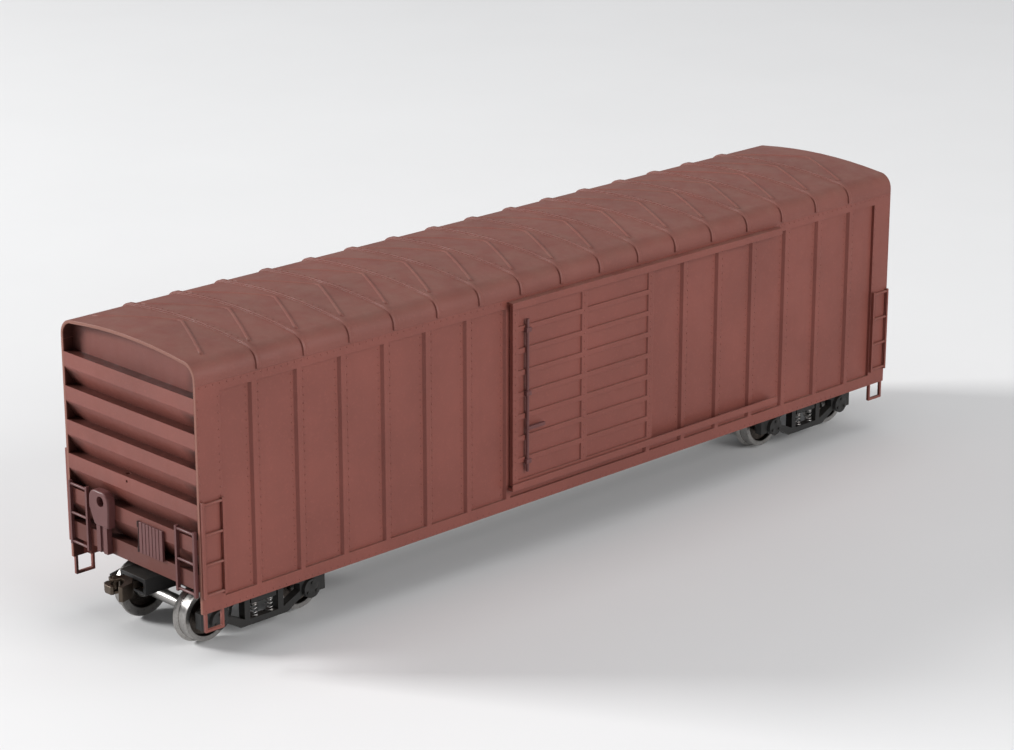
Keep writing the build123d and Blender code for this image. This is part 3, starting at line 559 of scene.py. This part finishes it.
def roof_details():
    """Chevron beads pressed in each panel, and rivets along the seam caps."""
    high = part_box("roof")[1]
    inner = high.y - END_T
    pitch = 2 * inner / ROOF_PANELS
    reach = high.x - SEAM_H - SHOULDER - FLAT_MARGIN
    mesh = bmesh.new()
    for panel in range(ROOF_PANELS):
        start = -inner + panel * pitch + BEAD_MARGIN
        run = pitch - 2 * BEAD_MARGIN
        points = []
        for x in spaced(-reach, reach, BEAD_STEP):
            y = start + run * (1 - abs(x) / reach)
            points.append((x, y, roof_z(x) - BEAD_SUNK))
        add_tube(mesh, points, BEAD_R, 12)
    finish_mesh("roof_beads", mesh, "roof", "body")
    mesh = bmesh.new()
    for seam in range(1, ROOF_PANELS):
        y = -inner + seam * pitch
        for x in spaced(-reach, reach, SEAM_RIVET_PITCH):
            lean = Vector((2 * ARCH_RISE * x / reach ** 2, 0, 1))
            add_dome(mesh, (x, y, roof_z(x) + SEAM_H), lean)
    finish_mesh("roof_rivets", mesh, "roof", "body")


for side, turn in SIDES.items():
    side_rivets(side, turn)
    door_rivets(side, turn)
roof_details()


# --- Brake shoes and train line -------------------------------------------------
TREAD_R = 4.81 * MM
SHOE_GAP = 0.12 * MM
SHOE_T = 0.55 * MM
SHOE_X = (8.25 * MM, 9.85 * MM)
SHOE_SWEEP = math.radians(24)           # each way from the axle's height
SHOE_STEPS = 3                          # steps each way
BEAM_R = 0.3 * MM
PIPE_R = 0.32 * MM
BRANCH_R = 0.8 * PIPE_R
PIPE_X = 0.17                           # share of the frame's half width
PIPE_UP = 3.3 * MM                      # above the frame's underside
PIPE_END = 8 * MM                       # short of the frame's ends


def add_shoe(mesh, axle, way, x_low, x_high):
    """A curved brake shoe on the side of a wheel that faces the truck's middle."""
    near = TREAD_R + SHOE_GAP
    far = near + SHOE_T
    rings = []
    for i in range(2 * SHOE_STEPS + 1):
        angle = SHOE_SWEEP * (i / SHOE_STEPS - 1)
        out = Vector((0, -way * math.cos(angle), math.sin(angle)))
        ring = []
        for radius, x in ((near, x_low), (near, x_high), (far, x_high), (far, x_low)):
            ring.append(mesh.verts.new(axle + out * radius + Vector((x, 0, 0))))
        rings.append(ring)
    for first, second in zip(rings, rings[1:]):
        bridge(mesh, first, second)
    mesh.faces.new(rings[0][::-1])
    mesh.faces.new(rings[-1])


def truck_brakes(end):
    """Two brake beams, each with a shoe against both wheels of an axle."""
    low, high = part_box(f"truck_bolster_{end}")
    middle = (low.y + high.y) / 2
    mesh = bmesh.new()
    for place in ("outer", "inner"):
        axle_low, axle_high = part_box(f"axle_{place}_{end}")
        axle = Vector((0, (axle_low.y + axle_high.y) / 2, (axle_low.z + axle_high.z) / 2))
        way = 1 if axle.y > middle else -1
        for hand in (-1, 1):
            x_low, x_high = sorted((hand * SHOE_X[0], hand * SHOE_X[1]))
            add_shoe(mesh, axle, way, x_low, x_high)
        beam_y = axle.y - way * (TREAD_R + SHOE_GAP + SHOE_T)
        add_tube(mesh, [(-SHOE_X[1], beam_y, axle.z), (SHOE_X[1], beam_y, axle.z)], BEAM_R)
    finish_mesh(f"truck_brakes_{end}", mesh, "truck", f"truck_{end}", smooth=False)


def train_line():
    """The brake pipe under the floor, with a branch to the control valve."""
    low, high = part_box("centre_sill")
    valve_low, valve_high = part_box("control_valve")
    x = low.x * PIPE_X
    z = low.z + PIPE_UP
    end_y = high.y - PIPE_END
    mesh = bmesh.new()
    add_tube(mesh, [(x, -end_y, z), (x, end_y, z)], PIPE_R)
    valve_y = (valve_low.y + valve_high.y) / 2
    middle_x = (x + valve_high.x) / 2
    branch = [(x, valve_y, z), (middle_x, valve_y, z), (valve_high.x, valve_y, z)]
    add_tube(mesh, branch, BRANCH_R)
    finish_mesh("train_line", mesh, "frame", "body")


for end in ENDS:
    truck_brakes(end)
train_line()


# --- Camera, floor and lights ---------------------------------------------------
CENTRE = (0, 0, 0.03)
CAMERA_PLACE = (0.37706, -0.36495, 0.2010)
CAMERA_TARGET = (0.000, -0.001, 0.0275)
CAMERA_LENS = 104.0
FLOOR_HALF = 3.0
WORLD_STRENGTH = 0.35


def look_at(thing, target):
    thing.rotation_euler = (Vector(target) - thing.location).to_track_quat("-Z", "Y").to_euler()


def add_camera():
    data = bpy.data.cameras.new("camera")
    data.lens = CAMERA_LENS
    data.sensor_width = 36.0
    data.clip_start = 0.01
    camera = bpy.data.objects.new("camera", data)
    bpy.context.scene.collection.objects.link(camera)
    camera.location = CAMERA_PLACE
    look_at(camera, CAMERA_TARGET)
    bpy.context.scene.camera = camera


def add_light(name, place, size, power):
    """A square area light in metres and watts, turned to the car's middle."""
    data = bpy.data.lights.new(name, "AREA")
    data.size = size
    data.energy = power
    light = bpy.data.objects.new(name, data)
    bpy.context.scene.collection.objects.link(light)
    light.location = place
    look_at(light, CENTRE)


def add_floor():
    mesh = bmesh.new()
    bmesh.ops.create_grid(mesh, x_segments=1, y_segments=1, size=FLOOR_HALF)
    data = bpy.data.meshes.new("floor_sheet")
    mesh.to_mesh(data)
    mesh.free()
    shader = Shader("pale_floor", 0.7)
    shader.colour(shader.mix(shader.noise(60 * MM), (0.74, 0.74, 0.74), (0.78, 0.78, 0.78)))
    data.materials.append(shader.material)
    floor = bpy.data.objects.new("floor_sheet", data)
    bpy.context.scene.collection.objects.link(floor)


def add_world():
    world = bpy.data.worlds.new("studio")
    world.use_nodes = True
    background = world.node_tree.nodes["Background"]
    background.inputs["Color"].default_value = (0.96, 0.97, 1.0, 1.0)
    background.inputs["Strength"].default_value = WORLD_STRENGTH
    bpy.context.scene.world = world
    bpy.context.scene.view_settings.view_transform = "Standard"


add_camera()
add_floor()
add_world()
add_light("key", (-0.98, -0.85, 0.55), 0.35, 22.0)
add_light("side", (1.15, 0.22, 0.50), 0.8, 11.0)
add_light("top", (0.0, 0.1, 1.2), 1.0, 3.5)
